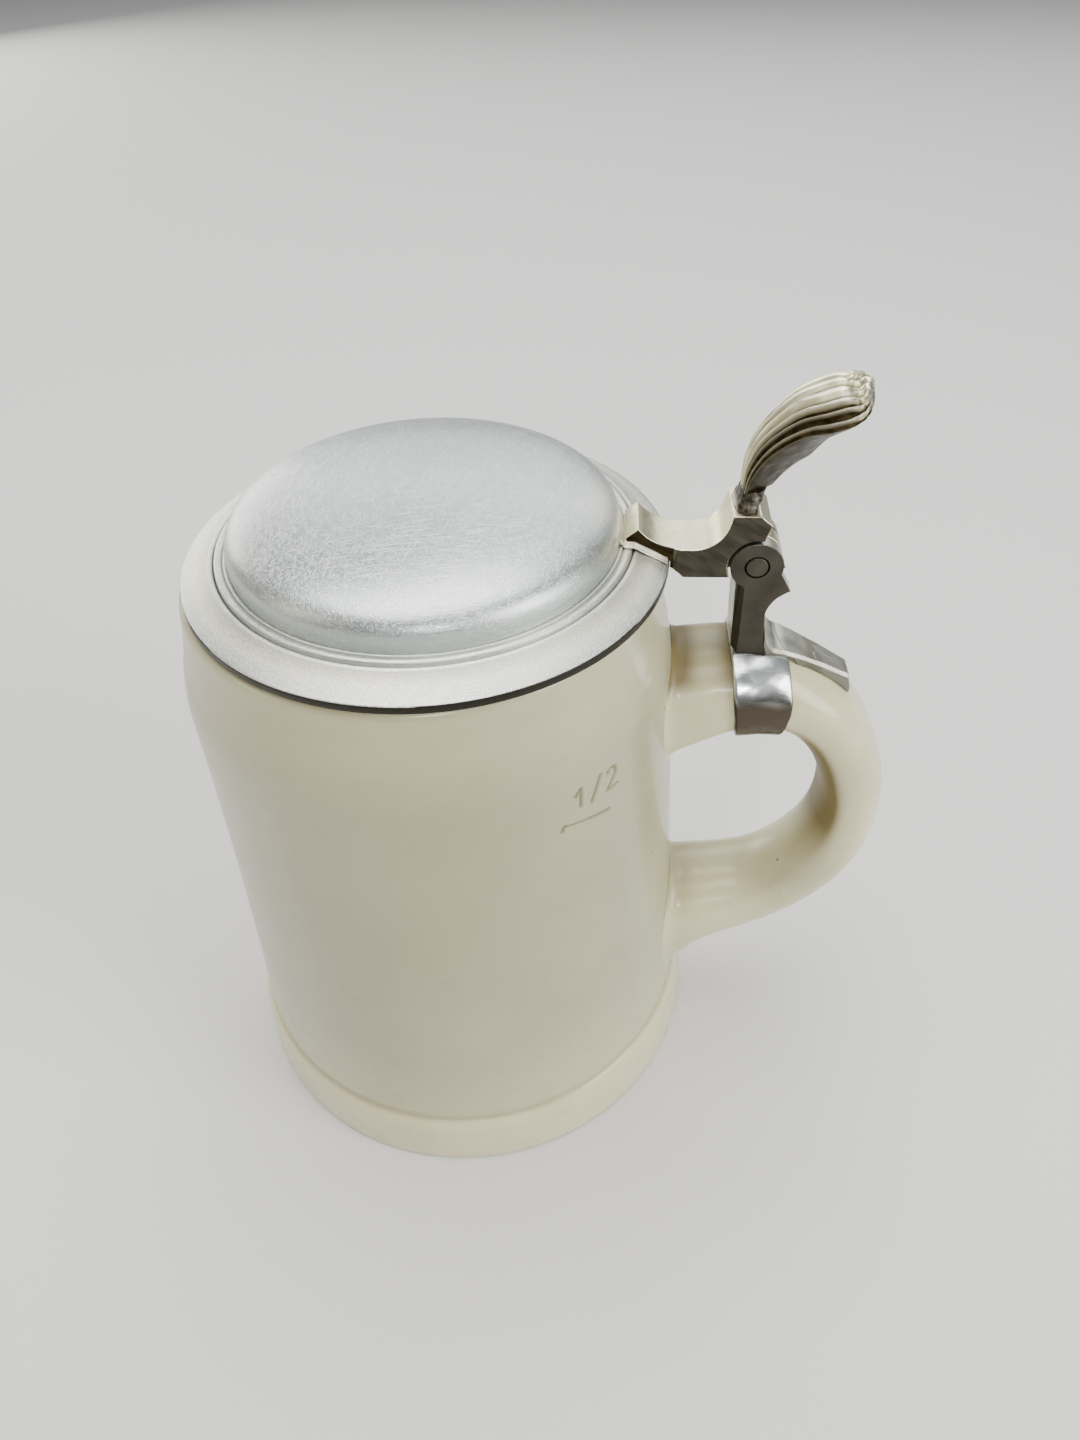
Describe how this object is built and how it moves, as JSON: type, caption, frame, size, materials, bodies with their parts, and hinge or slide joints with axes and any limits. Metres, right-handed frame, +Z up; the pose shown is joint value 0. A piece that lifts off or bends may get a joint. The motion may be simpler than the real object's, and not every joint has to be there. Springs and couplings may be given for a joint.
{
  "type": "lidded beer stein",
  "caption": "Stoneware beer mug with an ear handle and a hinged domed pewter lid opened by a fluted thumb lift.",
  "frame": {"origin": "centre of the foot, on the mug's axis, at the surface that the mug stands on", "axes": "+Z up along the mug's axis, +X from the axis towards the handle, +Y along the hinge pin"},
  "size_m": [0.1425, 0.1042, 0.1588],
  "materials": {
    "stoneware": "clear salt glaze",
    "lid_pewter": "satin pewter",
    "aged_pewter": "satin pewter with a yellowed surface",
    "dark_pewter": "plain dull pewter",
    "polished_band": "polished, lightly hammered",
    "solder": "rough soft solder"
  },
  "bodies": {
    "mug": {"mug_body": "stoneware", "handle": "stoneware", "handle_band": "polished_band", "hinge_post": "dark_pewter", "tail_strap": "dark_pewter", "hinge_pin": "dark_pewter"},
    "lid_assembly": {"lid": "lid_pewter", "lid_arm": "aged_pewter", "lid_arm_solder": "solder", "thumb_lift": "aged_pewter", "thumb_lift_solder": "solder"}
  },
  "joints": [
    {"name": "lid_hinge", "type": "hinge", "parent": "mug", "child": "lid_assembly", "pos_m": [0.058, 0, 0.1272], "axis": [0, 1, 0], "range_deg": [0, 98]}
  ]
}
